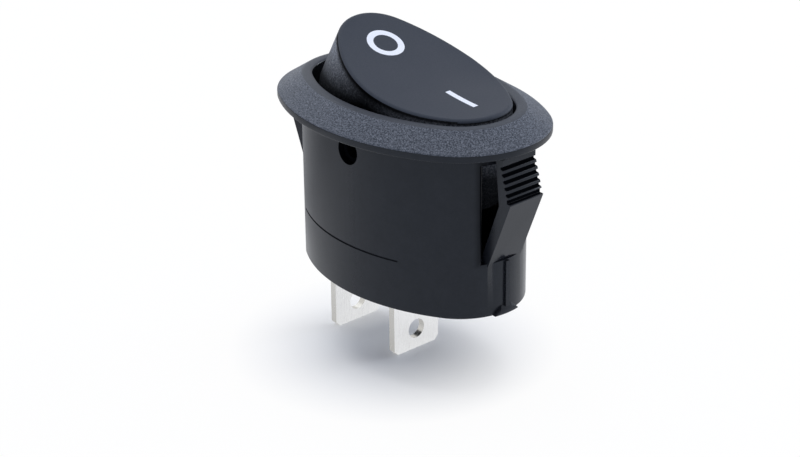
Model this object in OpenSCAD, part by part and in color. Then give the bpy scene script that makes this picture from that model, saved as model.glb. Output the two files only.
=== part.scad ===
// Oval snap-in rocker switch, single pole, two tab terminals, shown switched on.
// Origin: middle of the flange's underside, on the panel. X is the long axis, with the
// I end at +X and the O end at -X; the rocker's pivot lies along Y; +Z leaves the panel.
// Every oval is an offset of one four-arc oval, so walls and gaps keep one width all round.

/* [Body] */
// Length of the body below the flange
body_len = 28; // [27:0.5:32]
// Width of the body below the flange
body_w = 17.6; // [17:0.2:20]
// Radius of the body's round ends
body_end_r = 6.8; // [6.4:0.1:7.4]
// Depth of the body below the panel face
body_depth = 18; // [17.6:0.2:22]
// Thickness of the side walls
wall = 1.25; // [1:0.05:1.6]
// Thickness of the floor
floor_t = 1.6; // [1.2:0.1:2.2]

/* [Flange] */
// Reach of the flange beyond the body, all round
flange_over = 2.5; // [2:0.1:3.5]
// Height of the upright rim
rim_h = 0.8; // [0.5:0.1:1.2]
// Height of the raised ring round the rocker
ring_h = 2.5; // [1.8:0.1:3]
// Width of the raised ring's flat top
ring_w = 1.1; // [0.7:0.1:1.5]
// Width of the rounded edge on the ring's mouth
mouth_edge = 0.3; // [0.1:0.05:0.5]

/* [Snap arms] */
// Width of each snap arm
arm_w = 4.6; // [3.6:0.2:5.4]
// Gap between an arm and the window it springs into
arm_gap = 0.3; // [0.2:0.05:0.6]
// Thickness of an arm at its free end
arm_t = 0.95; // [0.8:0.05:1.3]
// Reach of the arm's free end beyond the body
arm_out = 1.6; // [1.2:0.1:2]
// Reach of the crest beyond the body
crest_out = 2.75; // [2.4:0.05:3.2]
// Depth of the crest below the panel face
crest_drop = 4.7; // [4.6:0.05:5.4]
// Number of teeth
teeth = 5; // [3:1:5]
// Pitch of the teeth
tooth_pitch = 0.66; // [0.5:0.02:0.68]
// Depth of the grooves between the teeth
tooth_depth = 0.24; // [0.16:0.02:0.32]
// Depth of the arm's plain top part
arm_neck = 1; // [0.8:0.05:1.2]
// Depth of the arm's root below the panel face
arm_root = 12.8; // [11.5:0.1:13.6]

/* [Body details] */
// Width of the raised line down each end
end_rib_w = 0.5; // [0.3:0.1:1]
// Height of the raised line over the wall
end_rib_out = 0.25; // [0.15:0.05:0.5]
// Width of the foot lip at each end
foot_w = 3.2; // [2.8:0.1:5]
// Reach of the foot lip beyond the wall
foot_out = 0.45; // [0.2:0.05:0.8]
// Height of the foot lip
foot_h = 1; // [0.8:0.1:1.3]

/* [Rocker] */
// Whole swing of the rocker, in degrees
rocker_swing = 29.6; // [26:0.2:30]
// Gap between the rocker and the mouth it swings in
rocker_gap = 0.3; // [0.3:0.05:0.5]
// Depth of the pivot below the panel face
pivot_drop = 2.1; // [2:0.1:2.8]
// Height of the rocker's middle above its pivot
rocker_rise = 6.6; // [6.2:0.1:7.4]
// Radius of the dished top
dish_r = 40; // [36:1:60]
// Thickness of the skirt and the top
skirt_t = 1.3; // [1:0.05:1.6]
// Depth of the skirt below the pivot
skirt_drop = 2; // [1.8:0.1:2.4]
// Diameter of the trunnions
trunnion_d = 2.8; // [2.4:0.1:3]
// Diameter of the blind bore that cores each trunnion
trunnion_bore = 1.8; // [1.4:0.1:2]
// Radial clearance of every turning or sliding fit
fit_gap = 0.05; // [0.03:0.01:0.08]
// Length of each trunnion inside the wall
trunnion_len = 0.55; // [0.45:0.05:0.9]

/* [Plunger] */
// Diameter of the plunger
plunger_d = 3.4; // [2.8:0.1:3.8]
// Thickness of the boss round the plunger
boss_t = 1.2; // [0.8:0.1:1.6]
// Depth of the boss below the pivot
boss_drop = 3.2; // [2.6:0.1:4]
// Clearance of the plunger's tip over the lever at mid swing
tip_gap = 0.1; // [0.05:0.05:0.3]
// Length of the spring as fitted
spring_len = 4; // [3:0.1:4.4]
// Wire thickness of the spring
wire_d = 0.4; // [0.3:0.05:0.5]
// Turns of the spring
spring_turns = 5; // [3:1:6]

/* [Contacts] */
// Height of the lever's pivot edge above the floor
fulcrum_up = 4.5; // [4.3:0.1:4.8]
// Whole swing of the contact lever, in degrees
lever_swing = 16; // [12:0.5:18]
// Thickness of the lever strip
lever_t = 0.6; // [0.4:0.05:0.8]
// Width of the lever strip
lever_w = 6.6; // [6:0.1:7]
// Reach of the lever past the contact
lever_end = 1.9; // [1.7:0.1:2.2]
// Reach of the lever's other arm from the pivot
lever_tail = 6.6; // [6:0.1:7.2]
// Distance of the contacts from the lever's pivot
contact_x = 7.9; // [7.4:0.1:8.2]
// Diameter of the contact buttons
contact_d = 3.2; // [2.6:0.1:3.4]
// Height of each contact button
contact_h = 0.8; // [0.6:0.05:0.9]
// Gap left between the closed contacts
contact_gap = 0.08; // [0.05:0.01:0.15]

/* [Terminals] */
// Width of the terminal tabs
tab_w = 6.3; // [4.8:0.1:6.4]
// Thickness of the terminal sheet
tab_t = 0.8; // [0.5:0.05:0.9]
// Length of the tabs below the body
tab_len = 9.2; // [7.5:0.1:11]
// Distance between the two terminals
tab_pitch = 9.6; // [9.4:0.1:10]
// Diameter of the hole in each tab
tab_hole_d = 2.2; // [1.4:0.1:2.6]
// Distance of the hole from the tab's tip
tab_hole_up = 2.3; // [2:0.1:3.5]
// Size of the corners cut off the tab's tip
tab_corner = 0.5; // [0.2:0.1:1]
// Width of a terminal's shoulder above the floor
shoulder_w = 7.6; // [7.4:0.1:8]
// Clearance round each tab in the floor
slot_gap = 0.05; // [0.03:0.01:0.1]

/* [Hidden] */
$fn = 96;
over = 1;                                        // how far a cut runs past a face

// The four-arc oval that every outline is an offset of.
end_x = body_len / 2 - body_end_r;               // centre of each end arc
side_r = (pow(end_x, 2) + pow(body_w / 2, 2) - pow(body_end_r, 2)) / (body_w - 2 * body_end_r);
side_y = side_r - body_w / 2;                    // how far past the middle a side arc is centred
arc_step = side_r - body_end_r;                  // side radius over end radius
arc_turn = atan2(side_y, end_x);                 // where an end arc meets a side arc

flange_r = body_end_r + flange_over;
shaft_r = body_end_r - wall;                     // end radius of the shaft the rocker swings in
ring_r = shaft_r + ring_w;
ring_edge = 0.12;                                // bevel at the foot of the raised ring
floor_z = floor_t - body_depth;                  // upper face of the floor
sink = 0.1;                                      // how far a rib reaches into what carries it

// Snap arms, drawn as X and Z beyond the body's end.
arm_top_gap = 0.3;
arm_lean = atan2(0.8, 2.75);
groove_h = 0.3;
groove_ramp = 0.09;
last_groove_h = 0.5;
crest_edge = 0.12;
window_top = 1.4;
window_foot = arm_root - 0.7;
arm_back = 1.6;                                  // thickness of an arm behind its crest
arm_knee = 0.6;                                  // depth of its inner knee below the crest
root_in = 0.5;
root_grip = 0.6;
foot_edge = 0.15;

// Engraved line along the long wall at -Y, by its ends' X.
line_drop = 12.5;
line_w = 0.22;
line_depth = 0.15;
line_from = -10.4;
line_to = 6.3;

// Ribs on the floor.
stop_gap = 0.1;                                  // between the rocker's skirt and the ribs it lands on
stop_w = 1;
stop_t = 1.8;
boss_h = 0.8;                                    // collars round the tabs on the floor
collar_t = 1.2;
collar_end = 0.4;
post_t = 1.5;                                    // post under the lever's free end
post_w = 3;
post_in = 0.15;

// Rocker, drawn level about its pivot and then turned to the rest pose.
rocker_tilt = rocker_swing / 2;
rocker_r = shaft_r - rocker_gap;
rocker_x = end_x + rocker_r;
rocker_y = rocker_r + body_w / 2 - body_end_r;
rocker_flat = 1.4;                               // half length of the straight part of each side
trunnion_y = body_w / 2 - wall + trunnion_len;
bore_depth = 2.4;
roof_extra = 0.4;                                // top's thickness over the skirt's
web_t = 1.6;
web_in = 0.3;

// Mechanism heights.
fulcrum_drop = body_depth - floor_t - fulcrum_up;
edge_r = tab_t / 2;                              // rounded edge the lever rocks on
lever_lift = edge_r + fit_gap;                   // lever's underside over its pivot
lever_tilt = lever_swing / 2;
plunger_r = plunger_d / 2;
plunger_reach = fulcrum_drop - pivot_drop - lever_lift - lever_t - tip_gap;
plunger_top = 0.3;
coil_gap = 0.1;                                  // between the coil and its bore
coil_steps = 14;                                 // rings in one turn of the coil
spigot_gap = 0.2;
spigot_r = plunger_r - wire_d - coil_gap - spigot_gap;
spigot_h = 1.2;
bore_top = plunger_top + spring_len;
dome_r = 3;                                      // radius of the moving contact's face
dome_z = lever_lift - contact_h + dome_r;        // its centre over the lever's pivot, level
closed_z = -fulcrum_drop - contact_x * sin(lever_tilt) + dome_z * cos(lever_tilt) - dome_r;
fixed_top = closed_z - contact_gap;
pad_top = fixed_top - contact_h;
contact_rest_x = contact_x * cos(lever_tilt) + dome_z * sin(lever_tilt);
ear_h = 1.6;
ear_gap = 0.1;
notch_d = 0.65;
notch_gap = 0.2;
waist_w = lever_w - 2 * notch_d;
notch_half = tab_t / 2 + notch_gap;
bend_r = 0.5;
pad_end = 1.8;
post_x = lever_tail - post_in - post_t;
post_top = -fulcrum_drop + lever_lift * cos(lever_tilt) - (post_x + post_t) * sin(lever_tilt) - stop_gap;

body_shade = "#2c2e33";
rocker_shade = "#3c3f46";
tin = "#d5d7da";
copper = "#b87548";
silver = "#e8e8ea";

// ---- outlines ----

module oval(r) {
    joint_x = end_x + r * cos(arc_turn);
    for (side = [-1, 1]) translate([side * end_x, 0]) circle(r);
    intersection() {
        translate([0, -side_y]) circle(r + arc_step);
        translate([0, side_y]) circle(r + arc_step);
        square([2 * joint_x, 4 * side_r], center = true);
    }
}

// Sweeps a profile, drawn as end radius and height, round the oval.
module oval_sweep() {
    for (half = [0, 180]) rotate(half) {
        translate([end_x, 0]) rotate(-arc_turn)
            rotate_extrude(angle = 2 * arc_turn) children();
        translate([0, -side_y]) rotate(arc_turn)
            rotate_extrude(angle = 180 - 2 * arc_turn) translate([arc_step, 0]) children();
    }
}

// Puts a copy at each end of the body, with +X pointing outwards.
module each_end() {
    for (turn = [0, 180]) rotate(turn) children();
}

// Stands a profile drawn as X and Z upright, its width along Y.
module across(width) {
    rotate([90, 0, 0]) linear_extrude(width, center = true) children();
}

// Stands a profile drawn as Y and Z upright, its thickness along X.
module sheet(thickness) {
    rotate([90, 0, 90]) linear_extrude(thickness, center = true) children();
}

// ---- housing ----

// Everything above the rim: the sloped top, the flat ring and the mouth's rounded edge.
module flange_profile() {
    polygon(concat(
        [[shaft_r, rim_h / 2], [flange_r - rim_h / 2, rim_h / 2], [flange_r, rim_h],
         [ring_r + ring_edge, ring_h - ring_edge], [ring_r, ring_h]],
        [for (turn = [90:-22.5:0])
            [shaft_r + mouth_edge * (1 - cos(turn)), ring_h - mouth_edge * (1 - sin(turn))]]
    ));
}

module shell() {
    difference() {
        union() {
            linear_extrude(rim_h) oval(flange_r);
            translate([0, 0, -body_depth]) linear_extrude(body_depth) oval(body_end_r);
        }
        translate([0, 0, floor_z]) linear_extrude(body_depth + rim_h + over) oval(shaft_r);
        translate([0, 0, -pivot_drop]) rotate([90, 0, 0])
            cylinder(h = body_w + 2 * over, r = trunnion_d / 2 + fit_gap, center = true);
        each_end() translate([end_x, -arm_w / 2 - arm_gap, -window_foot])
            cube([body_end_r + over, arm_w + 2 * arm_gap, window_foot - window_top]);
    }
    oval_sweep() flange_profile();
}

// The toothed face of an arm leans out from neck_x as it goes down.
function lean_x(drop) = body_len / 2 + arm_out + (drop - arm_neck) * tan(arm_lean);
function tooth(drop) = [
    [lean_x(drop), -drop],
    [lean_x(drop) - tooth_depth, -drop - groove_ramp],
    [lean_x(drop) - tooth_depth, -drop - groove_h],
    [lean_x(drop + groove_h + groove_ramp), -drop - groove_h - groove_ramp]
];

module snap_arm() {
    body_x = body_len / 2;
    crest_x = body_x + crest_out;
    last = crest_drop - last_groove_h;
    across(arm_w) polygon(concat(
        [[body_x + arm_out - arm_t, -arm_top_gap], [body_x + arm_out, -arm_top_gap]],
        [for (i = [0:teeth - 1]) each tooth(arm_neck + i * tooth_pitch)],
        [[lean_x(last), -last], [lean_x(last) - tooth_depth, -last - groove_ramp],
         [lean_x(last) - tooth_depth, -crest_drop], [crest_x, -crest_drop],
         [crest_x, -crest_drop - crest_edge], [body_x - root_in, -arm_root],
         [body_x - root_in, -arm_root - root_grip], [body_x - root_in - arm_t, -arm_root - root_grip],
         [body_x - root_in - arm_t, -arm_root + root_grip],
         [crest_x - arm_back, -crest_drop - arm_knee]]
    ));
}

module end_trim() {
    rib_turn = end_rib_w / body_end_r * 180 / PI;
    foot_turn = foot_w / body_end_r * 180 / PI;
    foot_top = foot_w / 2 - foot_h;
    translate([end_x, 0, -body_depth]) {
        rotate(-rib_turn / 2) rotate_extrude(angle = rib_turn)
            translate([body_end_r - wall / 2, 0])
                square([wall / 2 + end_rib_out, body_depth - arm_root + root_grip]);
        intersection() {
            rotate(-foot_turn / 2) rotate_extrude(angle = foot_turn)
                polygon([[body_end_r - wall / 2, 0], [body_end_r + foot_out - foot_edge, 0],
                         [body_end_r + foot_out, foot_edge], [body_end_r + foot_out, foot_h - foot_out],
                         [body_end_r - wall / 2, foot_h + wall / 2]]);
            sheet(2 * body_len)
                polygon([[-foot_w / 2, 0], [foot_w / 2, 0], [foot_top, foot_h], [-foot_top, foot_h]]);
        }
    }
}

// Ribs that the rocker's skirt lands on, either side of the terminals.
module stop_ribs() {
    rib_y = shoulder_w / 2 + ear_gap;
    reach = sqrt(pow(shaft_r, 2) - pow(rib_y + stop_w, 2));
    low_x = end_x + sqrt(pow(rocker_r, 2) - pow(rib_y, 2));
    top = -pivot_drop - low_x * sin(rocker_tilt) - skirt_drop * cos(rocker_tilt) - stop_gap;
    for (side = [-1, 1])
        translate([end_x + reach - stop_t, side > 0 ? rib_y : -rib_y - stop_w, floor_z - sink])
            cube([stop_t + wall, stop_w, top - floor_z + sink]);
}

module collar(x) {
    translate([x, 0, floor_z + (boss_h - sink) / 2])
        cube([tab_t + 2 * collar_t, shoulder_w + 2 * collar_end, boss_h + sink], center = true);
}

module tab_slot(x) {
    translate([x, 0, -body_depth])
        cube([tab_t + 2 * slot_gap, tab_w + 2 * slot_gap, 4 * (floor_t + boss_h)], center = true);
}

module rest_post() {
    translate([post_x, -post_w / 2, floor_z - sink]) cube([post_t, post_w, post_top - floor_z + sink]);
}

module wall_line() {
    translate([0, side_y, -line_drop]) rotate(-90 + asin(line_from / side_r))
        rotate_extrude(angle = asin(line_to / side_r) - asin(line_from / side_r))
            translate([side_r - line_depth, -line_w / 2]) square([line_depth + over, line_w]);
}

module housing() color(body_shade) difference() {
    union() {
        shell();
        each_end() {
            snap_arm();
            end_trim();
            stop_ribs();
        }
        for (x = [0, -tab_pitch]) collar(x);
        rest_post();
    }
    for (x = [0, -tab_pitch]) tab_slot(x);
    wall_line();
}

// ---- rocker ----

module at_pivot() {
    translate([0, 0, -pivot_drop]) rotate([0, rocker_tilt, 0]) children();
}

// One end of the rocker's outline: a round end, and a side arc that starts past the middle.
module rocker_outline() {
    run = end_x - rocker_flat;
    r = (pow(run, 2) + pow(rocker_y, 2) - pow(rocker_r, 2)) / (2 * (rocker_y - rocker_r));
    turn = atan2(r - rocker_y, run);
    joint_x = end_x + rocker_r * cos(turn);
    translate([end_x, 0]) circle(rocker_r);
    intersection() {
        translate([rocker_flat, rocker_y - r]) circle(r);
        translate([rocker_flat, r - rocker_y]) circle(r);
        translate([rocker_flat, -2 * r]) square([joint_x - rocker_flat, 4 * r]);
    }
    translate([-2 * rocker_x, -rocker_y]) square([2 * rocker_x + rocker_flat, 2 * rocker_y]);
}

// What clears the mouth at both ends of the swing and half way between them.
module rocker_envelope() {
    tall = 2 * rocker_rise;
    intersection_for(turn = [0, 180]) rotate(turn) intersection() {
        rotate([0, -rocker_tilt, 0])
            translate([0, 0, -tall]) linear_extrude(2 * tall) rocker_outline();
        translate([0, 0, -skirt_drop]) linear_extrude(tall) rocker_outline();
    }
}

module rocker_hollow() {
    roof = rocker_rise - skirt_t - roof_extra;
    reach = rocker_x - roof * tan(rocker_tilt) - skirt_t;
    intersection() {
        translate([0, 0, -skirt_drop - over]) linear_extrude(roof + skirt_drop + over)
            oval(rocker_r - skirt_t);
        cube([2 * reach, body_w, 4 * rocker_rise], center = true);
    }
}

module rocker() color(rocker_shade) at_pivot() difference() {
    union() {
        difference() {
            rocker_envelope();
            rocker_hollow();
        }
        translate([0, 0, -boss_drop]) cylinder(h = boss_drop + rocker_rise, r = plunger_r + boss_t);
        translate([-web_t / 2, web_in - rocker_y, -skirt_drop])
            cube([web_t, 2 * (rocker_y - web_in), skirt_drop + rocker_rise]);
        rotate([90, 0, 0]) cylinder(h = 2 * trunnion_y, r = trunnion_d / 2, center = true);
    }
    translate([0, 0, rocker_rise + dish_r]) rotate([90, 0, 0])
        cylinder(h = body_w, r = dish_r, center = true, $fn = 360);
    translate([0, 0, -boss_drop - over])
        cylinder(h = boss_drop + over + bore_top, r = plunger_r + fit_gap);
    for (turn = [90, -90]) rotate([turn, 0, 0]) translate([0, 0, trunnion_y - bore_depth])
        cylinder(h = bore_depth + over, r = trunnion_bore / 2);
}

// ---- plunger and its spring ----

module plunger() color("#e6e1d2") at_pivot() {
    translate([0, 0, plunger_r - plunger_reach]) {
        sphere(plunger_r);
        cylinder(h = plunger_reach - plunger_r + plunger_top, r = plunger_r);
    }
    translate([0, 0, plunger_top - sink]) cylinder(h = spigot_h + sink, r = spigot_r);
}

// A coil swept as rings of 8 points.
module plunger_spring() color("#b9bcc0") at_pivot() {
    coil_r = plunger_r - wire_d / 2 - coil_gap;
    steps = coil_steps * spring_turns;
    low = plunger_top + wire_d / 2;
    rise = spring_len - wire_d - fit_gap;
    rings = [for (i = [0:steps])
        let (turn = 360 * spring_turns * i / steps)
        [for (k = [0:7])
            let (out = coil_r + wire_d / 2 * cos(45 * k))
            [out * cos(turn), out * sin(turn), low + rise * i / steps + wire_d / 2 * sin(45 * k)]]];
    sides = [for (i = [0:steps - 1], k = [0:7])
        let (a = 8 * i + k, b = 8 * i + (k + 1) % 8)
        each [[a, b, b + 8], [a, b + 8, a + 8]]];
    caps = [[for (k = [7:-1:0]) k], [for (k = [0:7]) 8 * steps + k]];
    polyhedron(points = [for (ring = rings) each ring], faces = concat(sides, caps));
}

// ---- contacts ----

module at_fulcrum() {
    translate([0, 0, -fulcrum_drop]) rotate([0, -lever_tilt, 0]) children();
}

module contact_lever() color(copper) at_fulcrum() difference() {
    translate([-contact_x - lever_end, -lever_w / 2, lever_lift])
        cube([contact_x + lever_end + lever_tail, lever_w, lever_t]);
    for (side = [0, 180]) rotate(side)
        translate([-notch_half, waist_w / 2, lever_lift - over])
            cube([2 * notch_half, lever_w, lever_t + 2 * over]);
}

module moving_contact() color(silver) at_fulcrum() intersection() {
    translate([-contact_x, 0, lever_lift - contact_h]) cylinder(h = contact_h, r = contact_d / 2);
    translate([-contact_x, 0, dome_z]) sphere(dome_r);
}

module fixed_contact() color(silver)
    translate([-contact_rest_x, 0, pad_top]) cylinder(h = contact_h, r = contact_d / 2);

// ---- terminals ----

// Outline of a blade as Y and Z, up to the given height: tab, shoulder and hole.
module blade(top) {
    tip = -body_depth - tab_len;
    shoulder = floor_z + boss_h;
    difference() {
        union() {
            polygon([[-tab_w / 2 + tab_corner, tip], [tab_w / 2 - tab_corner, tip],
                     [tab_w / 2, tip + tab_corner], [tab_w / 2, shoulder],
                     [-tab_w / 2, shoulder], [-tab_w / 2, tip + tab_corner]]);
            translate([-shoulder_w / 2, shoulder]) square([shoulder_w, top - shoulder]);
        }
        translate([0, tip + tab_hole_up]) circle(tab_hole_d / 2);
    }
}

module centre_terminal() color(tin) {
    ear_w = (shoulder_w - waist_w) / 2 - ear_gap;
    sheet(tab_t) {
        blade(-fulcrum_drop);
        for (side = [-1, 1]) translate([side * (shoulder_w - ear_w) / 2, -fulcrum_drop])
            square([ear_w, 2 * ear_h], center = true);
    }
    translate([0, 0, -fulcrum_drop]) rotate([90, 0, 0])
        cylinder(h = shoulder_w - 2 * ear_w, r = edge_r, center = true);
}

module end_terminal() color(tin) {
    outer_r = bend_r + tab_t;
    corner = pad_top - outer_r;
    bend_x = tab_t / 2 + bend_r;
    foot = body_depth + tab_len + over;
    intersection() {
        translate([-tab_pitch, 0, 0]) across(shoulder_w) {
            translate([-tab_t / 2, -foot]) square([tab_t, corner + foot]);
            translate([bend_x, corner]) intersection() {
                difference() {
                    circle(outer_r);
                    circle(bend_r);
                }
                translate([-outer_r, 0]) square(outer_r);
            }
            translate([bend_x, pad_top - tab_t])
                square([tab_pitch - contact_rest_x + pad_end - bend_x, tab_t]);
        }
        sheet(4 * body_len) blade(pad_top + over);
    }
}

housing();
rocker();
plunger();
plunger_spring();
contact_lever();
moving_contact();
fixed_contact();
centre_terminal();
end_terminal();
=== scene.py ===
from math import asin, atan2, cos, hypot, pi, radians, sin, sqrt, tan

import bmesh
import bpy
from mathutils import Matrix, Vector


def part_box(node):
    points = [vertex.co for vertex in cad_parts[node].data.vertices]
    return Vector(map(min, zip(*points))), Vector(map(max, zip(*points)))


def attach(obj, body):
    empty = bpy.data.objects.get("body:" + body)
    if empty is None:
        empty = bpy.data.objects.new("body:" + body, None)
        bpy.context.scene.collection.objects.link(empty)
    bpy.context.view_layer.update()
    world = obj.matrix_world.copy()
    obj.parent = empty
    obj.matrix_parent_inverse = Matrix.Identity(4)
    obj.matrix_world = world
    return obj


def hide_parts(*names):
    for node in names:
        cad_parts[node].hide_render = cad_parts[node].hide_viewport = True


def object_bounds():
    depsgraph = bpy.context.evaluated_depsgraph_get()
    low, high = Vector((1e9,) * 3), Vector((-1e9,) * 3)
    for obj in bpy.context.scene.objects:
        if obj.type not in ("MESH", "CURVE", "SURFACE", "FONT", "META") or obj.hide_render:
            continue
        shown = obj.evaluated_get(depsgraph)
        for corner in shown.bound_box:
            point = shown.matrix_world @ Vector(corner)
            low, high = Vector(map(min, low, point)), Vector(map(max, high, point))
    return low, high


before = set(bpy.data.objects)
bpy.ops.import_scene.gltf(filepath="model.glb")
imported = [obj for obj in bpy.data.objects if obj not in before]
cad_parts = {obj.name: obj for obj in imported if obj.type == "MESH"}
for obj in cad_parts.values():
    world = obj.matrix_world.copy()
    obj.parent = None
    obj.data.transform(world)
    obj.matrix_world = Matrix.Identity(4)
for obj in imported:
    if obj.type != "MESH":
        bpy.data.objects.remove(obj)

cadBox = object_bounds()
mm = 0.001      # pieces are shaped in millimetres and settled in metres
tiny = 0.01     # how near counts as touching

# the four-arc oval that the flange, body, mouth and rocker share

oval = {"length": 28.0, "width": 17.6, "endRadius": 6.8, "endSteps": 44, "sideSteps": 30}

endR = oval["endRadius"]
endX = oval["length"] / 2 - endR
sideR = (endX ** 2 + (oval["width"] / 2) ** 2 - endR ** 2) / (oval["width"] - 2 * endR)
sideY = sideR - oval["width"] / 2
arcStep = sideR - endR
arcTurn = atan2(sideY, endX)


def ovalRadius(point):
    # the end radius of the oval that passes through a point
    along, across = abs(point.x), abs(point.y)
    if atan2(across, along - endX) <= arcTurn:
        return hypot(along - endX, across)
    return hypot(along, across + sideY) - arcStep


def spinOn(bm, geom, centre, turn, steps):
    return bmesh.ops.spin(bm, geom=geom, cent=(*centre, 0), axis=(0, 0, 1), angle=turn,
                          steps=steps)["geom_last"]


def addWire(bm, points, closed=False):
    verts = [bm.verts.new(point) for point in points]
    ends = verts[1:] + verts[:1] if closed else verts[1:]
    return verts + [bm.edges.new(pair) for pair in zip(verts, ends)]


def sweepOval(bm, profile):
    geom = addWire(bm, [(endX + r * cos(arcTurn), -r * sin(arcTurn), z) for r, z in profile])
    for side in (1, -1):
        geom = spinOn(bm, geom, (side * endX, 0), 2 * arcTurn, oval["endSteps"])
        geom = spinOn(bm, geom, (0, -side * sideY), pi - 2 * arcTurn, oval["sideSteps"])
    bmesh.ops.remove_doubles(bm, verts=bm.verts, dist=tiny / 10)


def roundEdges(bm, edges, width, segments=3, keepApart=False):
    bmesh.ops.bevel(bm, geom=edges, offset=width, offset_type="OFFSET", segments=segments, profile=0.5,
                    affect="EDGES", clamp_overlap=keepApart, material=-1)


def roundRing(bm, r, z, width):
    ring = [edge for edge in bm.edges
            if all(abs(v.co.z - z) < tiny and abs(ovalRadius(v.co) - r) < tiny for v in edge.verts)]
    roundEdges(bm, ring, width)


def meshObject(name, bm):
    bmesh.ops.recalc_face_normals(bm, faces=bm.faces)
    mesh = bpy.data.meshes.new(name)
    bm.to_mesh(mesh)
    bm.free()
    obj = bpy.data.objects.new(name, mesh)
    bpy.context.scene.collection.objects.link(obj)
    return obj


def weld(mesh, distance):
    bm = bmesh.new()
    bm.from_mesh(mesh)
    bmesh.ops.remove_doubles(bm, verts=bm.verts, dist=distance)
    bmesh.ops.dissolve_degenerate(bm, edges=bm.edges, dist=distance)
    bm.to_mesh(mesh)
    bm.free()


def combine(base, tool, operation):
    step = base.modifiers.new(operation, "BOOLEAN")
    step.operation = operation
    step.solver = "EXACT"
    step.object = tool
    graph = bpy.context.evaluated_depsgraph_get()
    shaped = bpy.data.meshes.new_from_object(base.evaluated_get(graph))
    base.modifiers.clear()
    base.data = shaped
    bpy.data.objects.remove(tool)
    weld(shaped, tiny / 10)


def turned(obj, angle, axis="Z"):
    obj.data.transform(Matrix.Rotation(angle, 4, axis))
    return obj


def block(low, high):
    bm = bmesh.new()
    bmesh.ops.create_cube(bm, size=1)
    low, high = Vector(low), Vector(high)
    bmesh.ops.scale(bm, verts=bm.verts, vec=high - low)
    bmesh.ops.translate(bm, verts=bm.verts, vec=(low + high) / 2)
    return meshObject("block", bm)


def rod(radius, start, end, axis, steps=72):
    bm = bmesh.new()
    bmesh.ops.create_cone(bm, cap_ends=True, segments=steps, radius1=radius, radius2=radius,
                          depth=end - start)
    bmesh.ops.translate(bm, verts=bm.verts, vec=(0, 0, (start + end) / 2))
    obj = meshObject("rod", bm)
    if axis == "Y":
        turned(obj, radians(-90), "X")
    return obj


def plate(outline, width):
    # an outline in X and Z, extruded evenly either side of Y = 0
    bm = bmesh.new()
    bmesh.ops.contextual_create(bm, geom=addWire(bm, [(x, -width / 2, z) for x, z in outline], closed=True))
    grown = bmesh.ops.extrude_face_region(bm, geom=bm.faces[:])["geom"]
    bmesh.ops.translate(bm, verts=[v for v in grown if isinstance(v, bmesh.types.BMVert)],
                        vec=(0, width, 0))
    return bm


def arcSolid(profile, centre, start, turn, steps):
    # a closed profile of radius and height, swept about a centre
    bm = bmesh.new()
    wire = addWire(bm, [(centre[0] + r * cos(start), centre[1] + r * sin(start), z) for r, z in profile],
                   closed=True)
    spinOn(bm, wire, centre, turn, steps)
    bmesh.ops.holes_fill(bm, edges=bm.edges, sides=0)
    return meshObject("arc", bm)


def settle(obj, materials, sharpAngle=38):
    mesh = obj.data
    mesh.transform(Matrix.Scale(mm, 4))
    for material in materials:
        mesh.materials.append(material)
    mesh.shade_smooth()
    mesh.set_sharp_from_angle(angle=radians(sharpAngle))
    even = obj.modifiers.new("evenShading", "WEIGHTED_NORMAL")
    even.keep_sharp = True
    return obj


# materials

def addNode(tree, kind, inputs, **settings):
    node = tree.nodes.new("ShaderNode" + kind)
    for key, value in settings.items():
        setattr(node, key, value)
    for key, value in inputs.items():
        if isinstance(value, bpy.types.NodeSocket):
            tree.links.new(value, node.inputs[key])
        else:
            node.inputs[key].default_value = value
    return node


def startMaterial(name):
    material = bpy.data.materials.new(name)
    material.use_nodes = True
    tree = material.node_tree
    tree.nodes.clear()
    return material, tree, addNode(tree, "TexCoord", {}).outputs["Object"]


def endMaterial(tree, shader):
    addNode(tree, "OutputMaterial", {"Surface": shader.outputs[0]})


def addRamp(tree, value, stops):
    ramp = addNode(tree, "ValToRGB", {"Fac": value})
    for element, (place, colour) in zip(ramp.color_ramp.elements, stops):
        element.position = place
        element.color = (*colour, 1)
    return ramp.outputs["Color"]


def addRange(tree, value, low, high, fromLow=0.3, fromHigh=0.7):
    return addNode(tree, "MapRange", {"Value": value, "From Min": fromLow, "From Max": fromHigh,
                                      "To Min": low, "To Max": high}).outputs["Result"]


def mathStep(tree, operation, *values):
    return addNode(tree, "Math", dict(enumerate(values)), operation=operation).outputs[0]


def mouthShade(tree, place, s):
    # painted shade: darker towards the line where the raised rocker leaves the mouth, close under the top edge and
    # towards the middle
    level = addNode(tree, "VectorRotate", {"Vector": place, "Center": (0, 0, -s["pivotDrop"] * mm),
                                           "Axis": (0, 1, 0), "Angle": -s["tilt"]}).outputs[0]
    parts = addNode(tree, "SeparateXYZ", {0: level}).outputs
    out = mathStep(tree, "ABSOLUTE", parts["X"])
    up = mathStep(tree, "MULTIPLY_ADD", out, tan(s["tilt"]), parts["Z"])
    across = mathStep(tree, "MULTIPLY", parts["X"], parts["X"])
    edge = mathStep(tree, "MULTIPLY_ADD", across, 0.5 / (s["dish"] * mm), (s["rise"] - s["pivotDrop"]) * mm)
    below = mathStep(tree, "SUBTRACT", edge, parts["Z"])
    shades = [addRange(tree, up, 0.09, 1, s["shadeFrom"] * mm, s["shadeTo"] * mm),
              addRange(tree, below, 0.07, 1, s["edgeFrom"] * mm, s["edgeTo"] * mm),
              addRange(tree, out, 0.2, 1, s["middleFrom"] * mm, s["middleTo"] * mm)]
    return mathStep(tree, "MULTIPLY", mathStep(tree, "MULTIPLY", *shades[:2]), shades[2])


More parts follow.
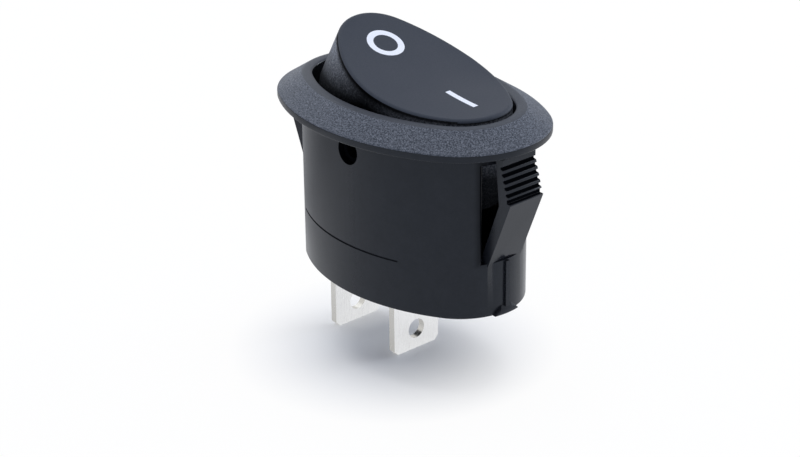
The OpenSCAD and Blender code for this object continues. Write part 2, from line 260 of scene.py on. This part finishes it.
def windowShade(tree, place, s):
    # painted shade: darker on the end walls beside the snap arms, and unchanged on the arms
    parts = addNode(tree, "SeparateXYZ", {0: place}).outputs
    aside = mathStep(tree, "ABSOLUTE", parts["Y"])
    beside = addRange(tree, aside, 0.1, 1, s["edge"] * mm, (s["edge"] + s["width"]) * mm)
    height = mathStep(tree, "ABSOLUTE", mathStep(tree, "ADD", parts["Z"], s["middle"] * mm))
    beyond = addRange(tree, height, 0, 1, s["half"] * mm, (s["half"] + s["soft"]) * mm)
    onArm = mathStep(tree, "LESS_THAN", aside, (s["edge"] - 0.2) * mm)
    return mathStep(tree, "MAXIMUM", mathStep(tree, "MAXIMUM", beside, beyond), onArm)


# the painted shade on the rocker's sides reads these too
rockerSizes = {
    "tilt": radians(14.8), "pivotDrop": 2.1, "rise": 6.6, "dish": 40.0, "gap": 0.3, "wall": 1.25,
    "flat": 1.4, "skirt": 1.3, "skirtDrop": 2.0, "roofExtra": 0.4, "arcSteps": 36,
    "trunnion": 1.4, "trunnionEnd": 8.1, "trunnionBore": 0.9, "boreDepth": 2.4,
    "plunger": 1.7, "boss": 1.2, "bossDrop": 3.2, "fit": 0.05, "boreTop": 4.3,
    "web": 1.6, "webIn": 0.3, "rimRound": 0.36,
    "shadeFrom": 2.7, "shadeTo": 6.4, "edgeFrom": 0.42, "edgeTo": 1.1, "middleFrom": 1, "middleTo": 8,
}

# the flange's spark-eroded grain; its pale specks are partly painted glints
flangeLook = {"name": "sparkTexturedNylon", "dark": (0.038, 0.044, 0.058), "pale": (0.25, 0.275, 0.335),
              "speckle": 0.15, "from": 0.43, "to": 0.74, "relief": 0.045, "strength": 0.5,
              "roughness": (0.45, 0.6), "specular": 0.1, "sheen": (0.78, 0.88, 1, 1)}
ringLook = {**flangeLook, "name": "smootherRing", "dark": (0.054, 0.060, 0.075),
            "pale": (0.082, 0.090, 0.108), "relief": 0.015}
# the body's satin nylon, with painted shade beside the snap arms
bodyLook = {"name": "satinNylon", "dark": (0.0085, 0.0100, 0.0135), "pale": (0.0125, 0.0140, 0.0185),
            "speckle": 1.6, "from": 0.3, "to": 0.7, "relief": 0.010, "strength": 0.2,
            "roughness": (0.2, 0.27), "specular": 0.26, "sheen": (0.8, 0.88, 1, 1), "shade": windowShade,
            "shadeSizes": {"edge": 2.6, "width": 1.0, "middle": 6.4, "half": 4.7, "soft": 1.4}}
# near-black, unreflecting nylon: painted shade in the arm's grooves, the pivot holes and the rocker's trunnion ends
paintedShadeLook = {**bodyLook, "name": "nylonInPaintedShade", "dark": (0.002, 0.0025, 0.004),
              "pale": (0.004, 0.0045, 0.006), "roughness": (0.6, 0.7), "specular": 0}
rockerLook = {"name": "fineMattNylon", "dark": (0.030, 0.036, 0.050), "pale": (0.040, 0.046, 0.063),
              "speckle": 0.13, "from": 0.35, "to": 0.65, "relief": 0.012, "strength": 0.35,
              "roughness": (0.5, 0.6), "specular": 0.16, "sheen": (0.78, 0.88, 1, 1)}
# the rocker's sides: its nylon drawn far paler than the top, then darkened by painted shade; the pale specks are
# partly painted glints
paintedShadeSideLook = {"name": "sparkTexturedSideInPaintedShade", "dark": (0.10, 0.11, 0.135), "pale": (0.68, 0.72, 0.80),
            "speckle": 0.2, "from": 0.45, "to": 0.85, "relief": 0.03, "strength": 0.5,
            "roughness": (0.5, 0.62), "specular": 0.14, "sheen": (0.8, 0.9, 1, 1),
            "shade": mouthShade, "shadeSizes": rockerSizes}


def makePlastic(look):
    material, tree, place = startMaterial(look["name"])
    speckle = addNode(tree, "TexNoise", {"Vector": place, "Scale": 1 / (look["speckle"] * mm),
                                         "Detail": 5, "Roughness": 0.74}).outputs[0]
    fine = addNode(tree, "TexNoise", {"Vector": place, "Scale": 3.1 / (look["speckle"] * mm),
                                      "Detail": 2, "Roughness": 0.5}).outputs[0]
    broad = addNode(tree, "TexNoise", {"Vector": place, "Scale": 1 / (9 * mm), "Detail": 1}).outputs[0]
    colour = addRamp(tree, speckle, [(look["from"], look["dark"]), (look["to"], look["pale"])])
    height = addNode(tree, "Math", {0: speckle, 1: 0.65}, operation="MULTIPLY")
    height = addNode(tree, "Math", {0: fine, 1: 0.35, 2: height.outputs[0]}, operation="MULTIPLY_ADD")
    relief = addNode(tree, "Bump", {"Height": height.outputs[0], "Strength": look["strength"],
                                    "Distance": look["relief"] * mm})
    specular = look["specular"]
    # a look with a shade has painted shade multiplied into its colour and its reflection
    if "shade" in look:
        share = look["shade"](tree, place, look["shadeSizes"])
        colour = addNode(tree, "VectorMath", {0: colour, "Scale": share}, operation="SCALE").outputs[0]
        specular = mathStep(tree, "MULTIPLY", share, specular)
    shader = addNode(tree, "BsdfPrincipled", {
        "Base Color": colour, "Roughness": addRange(tree, broad, *look["roughness"]),
        "Specular IOR Level": specular, "Specular Tint": look["sheen"],
        "Normal": relief.outputs["Normal"]})
    endMaterial(tree, shader)
    return material


acetalLook = {"name": "acetal", "dark": (0.70, 0.66, 0.56), "pale": (0.78, 0.75, 0.66),
              "speckle": 0.8, "from": 0.3, "to": 0.7, "relief": 0.004, "strength": 0.2,
              "roughness": (0.3, 0.4), "specular": 0.5, "sheen": (1, 1, 1, 1)}
printLook = {"name": "whitePrint", "dark": (0.70, 0.745, 0.86), "pale": (0.80, 0.84, 0.95),
             "speckle": 0.12, "from": 0.35, "to": 0.6, "relief": 0.006, "strength": 0.3,
             "roughness": (0.45, 0.55), "specular": 0.4, "sheen": (1, 1, 1, 1)}

# sheet metals have rolling marks drawn out along one axis
tinLook = {"name": "tinPlate", "dark": (0.92, 0.92, 0.915), "pale": (0.98, 0.98, 0.975),
           "grain": (0.5, 0.08, 1.6), "relief": 0.003, "roughness": (0.24, 0.36),
           "cutEdge": (0.60, 0.59, 0.56)}
copperLook = {"name": "rolledCopper", "dark": (0.62, 0.33, 0.2), "pale": (0.78, 0.47, 0.31),
              "grain": (2.0, 0.09, 0.09), "relief": 0.003, "roughness": (0.26, 0.4)}
silverLook = {"name": "contactSilver", "dark": (0.78, 0.78, 0.78), "pale": (0.9, 0.9, 0.9),
              "grain": (0.3, 0.3, 0.3), "relief": 0.002, "roughness": (0.25, 0.38)}
wireLook = {"name": "springWire", "dark": (0.5, 0.51, 0.53), "pale": (0.68, 0.69, 0.71),
            "grain": (0.15, 0.15, 0.6), "relief": 0.002, "roughness": (0.2, 0.32)}


def makeMetal(look):
    material, tree, place = startMaterial(look["name"])
    drawn = addNode(tree, "Mapping", {"Vector": place, "Scale": [1 / (size * mm) for size in look["grain"]]})
    marks = addNode(tree, "TexNoise", {"Vector": drawn.outputs[0], "Scale": 1, "Detail": 3}).outputs[0]
    relief = addNode(tree, "Bump", {"Height": marks, "Strength": 0.5, "Distance": look["relief"] * mm})
    colour = addRamp(tree, marks, [(0.35, look["dark"]), (0.65, look["pale"])])
    if "cutEdge" in look:
        # the sheet's faces look along X, and its cut edges are duller
        across = addNode(tree, "SeparateXYZ",
                         {0: addNode(tree, "TexCoord", {}).outputs["Normal"]}).outputs["X"]
        onFace = addRange(tree, addNode(tree, "Math", {0: across}, operation="ABSOLUTE").outputs[0], 0, 1)
        colour = addNode(tree, "Mix", {0: onFace, 6: (*look["cutEdge"], 1), 7: colour},
                         data_type="RGBA").outputs[2]
    shader = addNode(tree, "BsdfPrincipled", {
        "Base Color": colour,
        "Metallic": 1, "Roughness": addRange(tree, marks, *look["roughness"]),
        "Normal": relief.outputs["Normal"]})
    endMaterial(tree, shader)
    return material


flangePlastic, ringPlastic, bodyPlastic, paintedShadePlastic, rockerPlastic, paintedShadeSidePlastic, acetal, whitePrint = [
    makePlastic(look) for look in (flangeLook, ringLook, bodyLook, paintedShadeLook, rockerLook, paintedShadeSideLook,
                                   acetalLook, printLook)]
tinPlate, rolledCopper, contactSilver, springWire = [
    makeMetal(look) for look in (tinLook, copperLook, silverLook, wireLook)]
print("materials made")

# housing: flange, body, snap arms and the ribs inside

housingSizes = {
    "depth": -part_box("housing")[0].z / mm, "wall": 1.25, "floor": 1.6, "flangeOver": 2.5,
    "rim": 0.8, "ringHeight": 2.5, "ringWidth": 1.1,
    "bottomRound": 0.15, "cornerRound": 0.12, "undersideRound": 0.12, "creaseRound": 0.16,
    "ringRound": 0.22, "mouthRound": 0.3,
    "windowTop": 1.4, "windowFoot": 12.1, "windowFlare": 0.34, "pivotDrop": 2.1, "pivotHole": 1.45,
    "ribWidth": 0.5, "ribOut": 0.25, "footWidth": 3.2, "footOut": 0.45,
    "footHeight": 1.0, "footEdge": 0.15, "footRound": 0.18,
    "lineDrop": 12.5, "lineWidth": 0.22, "lineDepth": 0.15, "lineFrom": -10.4, "lineTo": 6.3,
    "stopY": 3.9, "stopWidth": 1.0, "stopThick": 1.8, "collarHeight": 0.8, "collarX": 1.6, "collarY": 4.2,
    "slotX": 0.45, "slotY": 3.2, "tabPitch": 9.6, "postX": (4.95, 6.45), "postY": 1.5, "postTop": -12.5,
}
armSizes = {
    "width": 4.6, "gap": 0.3, "thick": 0.95, "out": 1.6, "crestOut": 2.75, "crestDrop": 4.7, "topGap": 0.3,
    "teeth": 5, "pitch": 0.66, "toothDepth": 0.24, "neck": 1.0, "root": 12.8, "lean": atan2(0.8, 2.75),
    "grooveHeight": 0.3, "grooveRamp": 0.09, "lastGroove": 0.5, "crestEdge": 0.12,
    "back": 1.6, "knee": 0.6, "rootIn": 0.5, "rootGrip": 0.6, "edgeRound": 0.05,
}


def armOutline(a):
    bodyX = oval["length"] / 2
    crestX = bodyX + a["crestOut"]

    def leanX(drop):
        return bodyX + a["out"] + (drop - a["neck"]) * tan(a["lean"])

    outline = [(bodyX + a["out"] - a["thick"], -a["topGap"]), (bodyX + a["out"], -a["topGap"])]
    for tooth in range(a["teeth"]):
        drop = a["neck"] + tooth * a["pitch"]
        foot = drop + a["grooveHeight"]
        outline += [(leanX(drop), -drop), (leanX(drop) - a["toothDepth"], -drop - a["grooveRamp"]),
                    (leanX(drop) - a["toothDepth"], -foot),
                    (leanX(foot + a["grooveRamp"]), -foot - a["grooveRamp"])]
    last = a["crestDrop"] - a["lastGroove"]
    outline += [(leanX(last), -last), (leanX(last) - a["toothDepth"], -last - a["grooveRamp"]),
                (leanX(last) - a["toothDepth"], -a["crestDrop"]), (crestX, -a["crestDrop"]),
                (crestX, -a["crestDrop"] - a["crestEdge"]), (bodyX - a["rootIn"], -a["root"]),
                (bodyX - a["rootIn"], -a["root"] - a["rootGrip"]),
                (bodyX - a["rootIn"] - a["thick"], -a["root"] - a["rootGrip"]),
                (bodyX - a["rootIn"] - a["thick"], -a["root"] + a["rootGrip"]),
                (crestX - a["back"], -a["crestDrop"] - a["knee"])]
    return outline


def makeArm(a):
    bm = plate(armOutline(a), a["width"])
    bmesh.ops.recalc_face_normals(bm, faces=bm.faces)
    outer = [edge for edge in bm.edges if all(v.co.z > -a["root"] + tiny for v in edge.verts)
             or edge.calc_length() > a["width"]]
    roundEdges(bm, [edge for edge in outer if edge.calc_face_angle() > radians(12)], a["edgeRound"], 2, True)
    return meshObject("arm", bm)


def makeShell(h):
    bm = bmesh.new()
    flangeR, shaftR = endR + h["flangeOver"], endR - h["wall"]
    ringR = shaftR + h["ringWidth"]
    profile = [(endR, -h["depth"]), (endR, 0), (flangeR, 0), (flangeR, h["rim"]), (ringR, h["ringHeight"]),
               (shaftR, h["ringHeight"]), (shaftR, h["floor"] - h["depth"])]
    sweepOval(bm, profile)
    bmesh.ops.holes_fill(bm, edges=bm.edges, sides=0)
    rounds = ["bottomRound", "cornerRound", "undersideRound", "creaseRound", "ringRound", "mouthRound"]
    for (r, z), name in zip(profile, rounds):
        roundRing(bm, r, z, h[name])
    return meshObject("housingMoulding", bm)


def windowCutter(h, a):
    # the opening an arm springs into, rounded where it meets the outside of the wall
    halfY, flare, far = a["width"] / 2 + a["gap"], h["windowFlare"], oval["length"]
    centre = Vector((sqrt((endR - flare) ** 2 - (halfY + flare) ** 2), halfY + flare))
    start, end = -pi / 2, atan2(centre.y, centre.x) - radians(8)
    curve = [centre + flare * Vector((cos(turn), sin(turn)))
             for turn in (start + (end - start) * step / 8 for step in range(9))]
    curve.append(curve[-1] * far / curve[-1].length)
    upper = [(0, halfY)] + [tuple(point) for point in curve]
    outline = [(endX + x, y) for x, y in upper] + [(endX + x, -y) for x, y in reversed(upper)]
    bm = bmesh.new()
    bmesh.ops.contextual_create(
        bm, geom=addWire(bm, [(x, y, -h["windowFoot"]) for x, y in outline], closed=True))
    grown = bmesh.ops.extrude_face_region(bm, geom=bm.faces[:])["geom"]
    bmesh.ops.translate(bm, verts=[v for v in grown if isinstance(v, bmesh.types.BMVert)],
                        vec=(0, 0, h["windowFoot"] - h["windowTop"]))
    return meshObject("window", bm)


def inGroove(face, a):
    # whether a face lies in the grooves between an arm's teeth
    centre, drop = face.center / mm, -face.center.z / mm
    if (abs(face.normal.y) > 0.5 or abs(centre.y) > a["width"] / 2
            or not a["neck"] - 0.02 < drop < a["crestDrop"] + 0.02):
        return False
    leanX = oval["length"] / 2 + a["out"] + (drop - a["neck"]) * tan(a["lean"])
    return (0.04 < leanX - abs(centre.x) < 1.5 * a["toothDepth"]
            and face.normal.x * centre.x > -0.2 * abs(centre.x))


def makeHousing(h, a):
    shell = makeShell(h)
    floorZ = h["floor"] - h["depth"]
    shaftR = endR - h["wall"]
    print("  shell swept")
    for side in (0, pi):
        combine(shell, turned(windowCutter(h, a), side), "DIFFERENCE")
    hole = rod(h["pivotHole"], -oval["width"], oval["width"], "Y")
    hole.data.transform(Matrix.Translation((0, 0, -h["pivotDrop"])))
    combine(shell, hole, "DIFFERENCE")
    for side in (0, pi):
        combine(shell, turned(makeArm(a), side), "UNION")
        foot = h["depth"] - a["root"] + a["rootGrip"]
        inner = endR - h["wall"] / 2
        for width, profile in (
                (h["ribWidth"], [(inner, 0), (endR + h["ribOut"], 0), (endR + h["ribOut"], foot),
                                 (inner, foot)]),
                (h["footWidth"], [(inner, 0), (endR + h["footOut"] - h["footEdge"], 0),
                                  (endR + h["footOut"], h["footEdge"]),
                                  (endR + h["footOut"], h["footHeight"] - h["footOut"]),
                                  (inner, h["footHeight"] + h["wall"] / 2)])):
            turn = width / endR
            trim = arcSolid([(r, z - h["depth"]) for r, z in profile], (endX, 0), -turn / 2, turn, 12)
            if width == h["footWidth"]:
                top = width / 2 - h["footHeight"]
                slopes = plate([(x, z - h["depth"]) for x, z in (
                    (-width / 2, 0), (width / 2, 0), (top, h["footHeight"]),
                    (-top, h["footHeight"]))], 2 * oval["length"])
                combine(trim, turned(meshObject("slopes", slopes), pi / 2), "INTERSECT")
                bm = bmesh.new()
                bm.from_mesh(trim.data)
                roundEdges(bm, [edge for edge in bm.edges if edge.calc_face_angle() > radians(25)
                                and all(ovalRadius(v.co) > endR + tiny for v in edge.verts)],
                           h["footRound"], 2, True)
                bm.to_mesh(trim.data)
                bm.free()
            combine(shell, turned(trim, side), "UNION")
        reach = endX + sqrt(shaftR ** 2 - (h["stopY"] + h["stopWidth"]) ** 2)
        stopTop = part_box("rocker")[0].z / mm
        for low in (h["stopY"], -h["stopY"] - h["stopWidth"]):
            stop = block((reach - h["stopThick"], low, floorZ - 0.1),
                         (reach + h["wall"], low + h["stopWidth"], stopTop + 0.3))
            combine(shell, turned(stop, side), "UNION")
    combine(shell, block((h["postX"][0], -h["postY"], floorZ - 0.1),
                         (h["postX"][1], h["postY"], h["postTop"])), "UNION")
    for x in (0, -h["tabPitch"]):
        collar = block((x - h["collarX"], -h["collarY"], floorZ - 0.1),
                       (x + h["collarX"], h["collarY"], floorZ + h["collarHeight"]))
        combine(shell, collar, "UNION")
        slot = block((x - h["slotX"], -h["slotY"], -h["depth"] - 1),
                     (x + h["slotX"], h["slotY"], floorZ + h["collarHeight"] + 1))
        combine(shell, slot, "DIFFERENCE")
    start, end = asin(h["lineFrom"] / sideR), asin(h["lineTo"] / sideR)
    low, high = -h["lineDrop"] - h["lineWidth"] / 2, -h["lineDrop"] + h["lineWidth"] / 2
    inner, outer = sideR - h["lineDepth"], sideR + 1
    line = arcSolid([(inner, low), (outer, low), (outer, high), (inner, high)],
                    (0, sideY), start - pi / 2, end - start, 40)
    combine(shell, line, "DIFFERENCE")
    settle(shell, [flangePlastic, bodyPlastic, paintedShadePlastic, ringPlastic])
    ringZ = (h["ringHeight"] - h["mouthRound"]) * mm
    for face in shell.data.polygons:
        onFlange = (face.center.z > h["rim"] * mm / 2 and face.normal.z > 0.3
                    and ovalRadius(face.center / mm) > shaftR)
        onRing = (onFlange and face.center.z > ringZ
                  and ovalRadius(face.center / mm) < shaftR + h["ringWidth"])
        x, y, z = face.center / mm
        # the pivot holes and the grooves between the teeth take the near-black painted shade
        inPivot = abs(y) > 7 and hypot(x, z + h["pivotDrop"]) < h["pivotHole"] + tiny
        face.material_index = 3 if onRing else 0 if onFlange else 2 if inPivot or inGroove(face, a) else 1
    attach(shell, "housing")
    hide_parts("housing")
    return shell


housingPiece = makeHousing(housingSizes, armSizes)
print("housing made:", len(housingPiece.data.polygons), "faces")

# rocker, shaped level about its pivot and then tipped to rest


def rockerHalfPrism(s):
    # the outline of one end, drawn long past the other end, as an upright prism
    r = endR - s["wall"] - s["gap"]
    halfWidth = r + oval["width"] / 2 - endR
    run = endX - s["flat"]
    arcR = (run ** 2 + halfWidth ** 2 - r ** 2) / (2 * (halfWidth - r))
    turn = atan2(arcR - halfWidth, run)
    tall, far = 2 * s["rise"], -2 * (endX + r)
    bm = bmesh.new()
    geom = [bm.verts.new((s["flat"], -halfWidth, -tall))]
    first = geom[0]
    for centre, sweep, steps in (((s["flat"], arcR - halfWidth), pi / 2 - turn, s["arcSteps"] // 2),
                                 ((endX, 0), 2 * turn, s["arcSteps"]),
                                 ((s["flat"], halfWidth - arcR), pi / 2 - turn, s["arcSteps"] // 2)):
        geom = spinOn(bm, geom, centre, sweep, steps)
    last = [part for part in geom if isinstance(part, bmesh.types.BMVert)][-1]
    corners = [bm.verts.new((far, y, -tall)) for y in (halfWidth, -halfWidth)]
    for pair in ((last, corners[0]), corners, (corners[1], first)):
        bm.edges.new(pair)
    bmesh.ops.contextual_create(bm, geom=bm.edges[:])
    grown = bmesh.ops.extrude_face_region(bm, geom=bm.faces[:])["geom"]
    bmesh.ops.translate(bm, verts=[v for v in grown if isinstance(v, bmesh.types.BMVert)],
                        vec=(0, 0, 2 * tall))
    return meshObject("rockerMoulding", bm)


def dishHeight(s, x):
    return s["rise"] + s["dish"] - sqrt(s["dish"] ** 2 - x ** 2)


def makeRocker(s):
    body = turned(rockerHalfPrism(s), -s["tilt"], "Y")
    for lean, half in ((0, 0), (-s["tilt"], pi), (0, pi)):
        combine(body, turned(turned(rockerHalfPrism(s), lean, "Y"), half), "INTERSECT")
    wide = oval["length"]
    combine(body, block((-wide, -wide, -s["skirtDrop"]), (wide, wide, 3 * s["rise"])), "INTERSECT")
    dish = rod(s["dish"], -wide, wide, "Y", 540)
    dish.data.transform(Matrix.Translation((0, 0, s["rise"] + s["dish"])))
    combine(body, dish, "DIFFERENCE")
    print("  rocker outline cut")

    weld(body.data, tiny)
    bm = bmesh.new()
    bm.from_mesh(body.data)
    rim = [edge for edge in bm.edges if len(edge.link_faces) == 2
           and max(face.normal.z for face in edge.link_faces) > 0.9
           and min(face.normal.z for face in edge.link_faces) < 0.7]
    roundEdges(bm, rim, s["rimRound"], 4)
    bm.to_mesh(body.data)
    bm.free()

    r = endR - s["wall"] - s["gap"]
    halfWidth = r + oval["width"] / 2 - endR
    roof = s["rise"] - s["skirt"] - s["roofExtra"]
    innerR = r - s["skirt"]
    bm = bmesh.new()
    sweepOval(bm, [(innerR, -s["skirtDrop"] - 1), (innerR, roof)])
    bmesh.ops.holes_fill(bm, edges=bm.edges, sides=0)
    hollow = meshObject("hollow", bm)
    reach = endX + r - roof * tan(s["tilt"]) - s["skirt"]
    combine(hollow, block((-reach, -wide, -wide), (reach, wide, wide)), "INTERSECT")
    combine(body, hollow, "DIFFERENCE")
    combine(body, rod(s["plunger"] + s["boss"], -s["bossDrop"], roof + 0.2, "Z"), "UNION")
    webY = halfWidth - s["webIn"]
    combine(body, block((-s["web"] / 2, -webY, -s["skirtDrop"]), (s["web"] / 2, webY, roof + 0.2)), "UNION")
    combine(body, rod(s["trunnion"], -s["trunnionEnd"], s["trunnionEnd"], "Y"), "UNION")
    combine(body, rod(s["plunger"] + s["fit"], -s["bossDrop"] - 1, s["boreTop"], "Z"), "DIFFERENCE")
    for angle in (pi / 2, -pi / 2):
        core = turned(rod(s["trunnionBore"], s["trunnionEnd"] - s["boreDepth"], s["trunnionEnd"] + 1, "Z"),
                      angle, "X")
        combine(body, core, "DIFFERENCE")
    settle(body, [rockerPlastic, paintedShadeSidePlastic, paintedShadePlastic], 32)
    for face in body.data.polygons:
        x, y, z = face.center / mm
        # the top keeps the rocker's nylon, and the sides take its paler copy with painted shade
        onTop = face.normal.z > 0.36 and z > s["rise"] / 2
        # the trunnion ends take the near-black painted shade
        onTrunnion = abs(y) > s["trunnionEnd"] - s["boreDepth"] - tiny and hypot(x, z) < s["trunnion"] + tiny
        face.material_index = 0 if onTop else 2 if onTrunnion else 1
    return tipRocker(body, s)


def tipRocker(obj, s):
    obj.data.transform(Matrix.Translation((0, 0, -s["pivotDrop"] * mm)) @ Matrix.Rotation(s["tilt"], 4, "Y"))
    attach(obj, "rocker")
    return obj


rockerPiece = makeRocker(rockerSizes)
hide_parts("rocker")
print("rocker made:", len(rockerPiece.data.polygons), "faces")

# the printed O and I, laid on the dished top

markSizes = {"ringX": -5.97, "ringOuter": 2.0, "ringInner": 1.3, "barX": 5.78, "barLength": 4.1,
             "barWidth": 0.64, "lift": 0.012, "sunk": 0.05}


def layMark(name, bm, m, s):
    grown = bmesh.ops.extrude_face_region(bm, geom=bm.faces[:])["geom"]
    bmesh.ops.translate(bm, verts=[v for v in grown if isinstance(v, bmesh.types.BMVert)],
                        vec=(0, 0, -m["lift"] - m["sunk"]))
    for vert in bm.verts:
        vert.co.z += m["lift"] + dishHeight(s, vert.co.x)
    return tipRocker(settle(meshObject(name, bm), [whitePrint]), s)


def makeMarks(m, s):
    bm = bmesh.new()
    edge = addWire(bm, [(m["ringX"] + r, 0, 0) for r in (m["ringInner"], m["ringOuter"])])
    bmesh.ops.spin(bm, geom=edge, cent=(m["ringX"], 0, 0), axis=(0, 0, 1), angle=2 * pi,
                   steps=96, use_merge=True)
    layMark("offMark", bm, m, s)
    bm = bmesh.new()
    bmesh.ops.create_grid(bm, x_segments=14, y_segments=1, size=0.5)
    bmesh.ops.scale(bm, verts=bm.verts, vec=(m["barLength"], m["barWidth"], 1))
    bmesh.ops.translate(bm, verts=bm.verts, vec=(m["barX"], 0, 0))
    layMark("onMark", bm, m, s)


makeMarks(markSizes, rockerSizes)
print("marks laid")

# the pieces that keep their CAD shape

finishes = {"plunger": acetal, "plunger_spring": springWire, "contact_lever": rolledCopper,
            "moving_contact": contactSilver, "fixed_contact": contactSilver,
            "centre_terminal": tinPlate, "end_terminal": tinPlate}
for nodeName, finish in finishes.items():
    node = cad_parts[nodeName]
    node.data.materials.clear()
    node.data.materials.append(finish)
print("metal parts finished")

# floor, light and camera: the floor's size and the lamps are in metres, other lengths in millimetres

floorLook = {"size": 6.0, "colour": (0.93, 0.94, 0.97, 1), "middle": (-2, -1, 0), "reach": (4, 18),
             "ownLight": (0.02, 0.94), "mirrored": 0.65, "mirrorSide": (0.85, -0.53, 0),
             "mirrorReach": (-40, -12), "mirrorLevel": (0.3, 1)}
skyLook = {"shown": (1, 1, 1, 1), "fill": (0.86, 0.9, 1.0, 1), "darkSide": (0.75, -0.66, 0),
           "fills": (0.62, 0.45)}
lamps = [
    {"name": "overheadBox", "at": (-0.02, 0.04, 0.46), "size": 0.34, "power": 1.15, "tint": (1, 0.99, 0.98)},
    {"name": "rightBox", "at": (0.14, 0.42, 0.07), "size": 0.22, "power": 0.8, "tint": (0.88, 0.94, 1)},
    {"name": "leftBox", "at": (-0.42, 0.06, 0.2), "size": 0.40, "power": 0.4, "tint": (0.9, 0.95, 1)},
]
cameraView = {"azimuth": 48.438, "elevation": 24.167, "roll": -0.639, "lens": 95.98, "distance": 218.588,
              "right": -1.230, "up": -12.791, "height": 0.7}


def seenRays(tree):
    # the rays that see the backdrop as it is, and the camera's own among them
    ray = addNode(tree, "LightPath", {})
    direct = addNode(tree, "Math", {0: ray.outputs["Is Camera Ray"], 1: ray.outputs["Is Glossy Ray"]},
                     operation="MAXIMUM")
    seen = addNode(tree, "Math", {0: direct.outputs[0], 1: ray.outputs["Is Transmission Ray"]}, operation="MAXIMUM")
    return seen.outputs[0], ray.outputs["Is Camera Ray"]


def makeFloor(look):
    bm = bmesh.new()
    bmesh.ops.create_grid(bm, x_segments=1, y_segments=1, size=look["size"] / 2)
    bmesh.ops.translate(bm, verts=bm.verts, vec=(0, 0, cadBox[0].z))
    floor = meshObject("floor", bm)
    material, tree, place = startMaterial("paleFloor")
    paper = addNode(tree, "BsdfDiffuse", {"Color": look["colour"]})
    # its own light, for the camera alone, is weak in the shadow and strong further out
    low, high = [edge * mm for edge in look["reach"]]
    away = addNode(tree, "VectorMath", {0: place, 1: Vector(look["middle"]) * mm + Vector((0, 0, cadBox[0].z))},
                   operation="DISTANCE").outputs["Value"]
    own = addRange(tree, away, *look["ownLight"], fromLow=low, fromHigh=high)
    seen, direct = seenRays(tree)
    # what the glossy walls mirror is darker on one side than on the other
    mirrored = mathStep(tree, "SUBTRACT", seen, direct)
    along = addNode(tree, "VectorMath", {0: place, 1: look["mirrorSide"]},
                    operation="DOT_PRODUCT").outputs["Value"]
    low, high = [edge * mm for edge in look["mirrorReach"]]
    level = addRange(tree, along, *look["mirrorLevel"], fromLow=low, fromHigh=high)
    strength = mathStep(tree, "MULTIPLY_ADD", mirrored, mathStep(tree, "SUBTRACT", level, 1), 1)
    glow = addNode(tree, "Emission", {"Color": (1, 1, 1, 1), "Strength": strength})
    share = mathStep(tree, "MULTIPLY_ADD", mirrored, look["mirrored"],
                     mathStep(tree, "MULTIPLY", direct, own))
    endMaterial(tree, addNode(tree, "MixShader", {0: share, 1: paper.outputs[0], 2: glow.outputs[0]}))
    floor.data.materials.append(material)


def makeSky(look):
    world = bpy.data.worlds.new("studio")
    world.use_nodes = True
    tree = world.node_tree
    tree.nodes.clear()
    way = addNode(tree, "TexCoord", {}).outputs["Generated"]
    facing = addNode(tree, "VectorMath", {0: way, 1: look["darkSide"]},
                     operation="DOT_PRODUCT").outputs["Value"]
    strength = addRange(tree, facing, *look["fills"], fromLow=-0.1, fromHigh=0.9)
    fill = addNode(tree, "Background", {"Color": look["fill"], "Strength": strength})
    shown = addNode(tree, "Background", {"Color": look["shown"], "Strength": 1})
    mix = addNode(tree, "MixShader", {0: seenRays(tree)[0], 1: fill.outputs[0], 2: shown.outputs[0]})
    addNode(tree, "OutputWorld", {"Surface": mix.outputs[0]})
    bpy.context.scene.world = world


def makeLamp(look):
    data = bpy.data.lights.new(look["name"], "AREA")
    data.size = look["size"]
    data.energy = look["power"]
    data.color = look["tint"]
    lamp = bpy.data.objects.new(look["name"], data)
    bpy.context.scene.collection.objects.link(lamp)
    lamp.location = look["at"]
    lamp.rotation_euler = Vector(look["at"]).to_track_quat("Z", "Y").to_euler()


def makeCamera(look):
    turn, climb, roll = [radians(look[key]) for key in ("azimuth", "elevation", "roll")]
    back = Vector((sin(turn) * cos(climb), -cos(turn) * cos(climb), sin(climb)))
    level = Vector((cos(turn), sin(turn), 0))
    upright = back.cross(level)
    right = level * cos(roll) + upright * sin(roll)
    up = upright * cos(roll) - level * sin(roll)
    place = back * look["distance"] + right * look["right"] + up * look["up"] + Vector((0, 0, look["height"]))
    data = bpy.data.cameras.new("camera")
    data.lens = look["lens"]
    data.clip_start = 10 * mm
    camera = bpy.data.objects.new("camera", data)
    bpy.context.scene.collection.objects.link(camera)
    camera.matrix_world = Matrix.Translation(place * mm) @ Matrix((right, up, back)).transposed().to_4x4()
    bpy.context.scene.camera = camera


makeFloor(floorLook)
makeSky(skyLook)
for lampLook in lamps:
    makeLamp(lampLook)
makeCamera(cameraView)
bpy.context.scene.view_settings.view_transform = "Standard"
print("studio ready")

bpy.context.view_layer.update()
